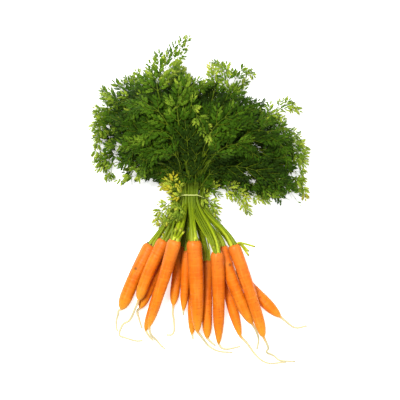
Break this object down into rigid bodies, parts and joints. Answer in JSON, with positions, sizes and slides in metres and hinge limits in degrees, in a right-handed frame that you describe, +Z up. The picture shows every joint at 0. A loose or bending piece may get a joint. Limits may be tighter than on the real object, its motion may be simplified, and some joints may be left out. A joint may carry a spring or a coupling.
{
  "type": "bunch of carrots",
  "caption": "Bunch of slender carrots with thin tap roots and leafy green tops, tied round the stalks and lying flat.",
  "frame": {"origin": "on the table, at the flat spot under the middle carrot of the lowest row", "axes": "+Y along the bunch from the root tips towards the leaves, +Z up from the table, +X to the right seen from above with the leaves at the top"},
  "size_m": [0.3569, 0.5086, 0.0985],
  "materials": {
    "carrot_root": "satin orange skin",
    "carrot_leaf": "matt green stalks and leaves",
    "rubber_band": "pale satin rubber"
  },
  "bodies": {
    "root": {"carrot_01": "carrot_root", "carrot_02": "carrot_root", "carrot_03": "carrot_root", "carrot_04": "carrot_root", "carrot_05": "carrot_root", "carrot_06": "carrot_root", "carrot_07": "carrot_root", "carrot_08": "carrot_root", "carrot_09": "carrot_root", "carrot_10": "carrot_root", "carrot_11": "carrot_root", "carrot_12": "carrot_root", "carrot_13": "carrot_root", "carrot_14": "carrot_root", "carrot_15": "carrot_root", "top_01": "carrot_leaf", "top_02": "carrot_leaf", "top_03": "carrot_leaf", "top_04": "carrot_leaf", "top_05": "carrot_leaf", "top_06": "carrot_leaf", "top_07": "carrot_leaf", "top_08": "carrot_leaf", "top_09": "carrot_leaf", "top_10": "carrot_leaf", "top_11": "carrot_leaf", "top_12": "carrot_leaf", "top_13": "carrot_leaf", "top_14": "carrot_leaf", "top_15": "carrot_leaf", "rubber_band": "rubber_band"}
  },
  "joints": []
}
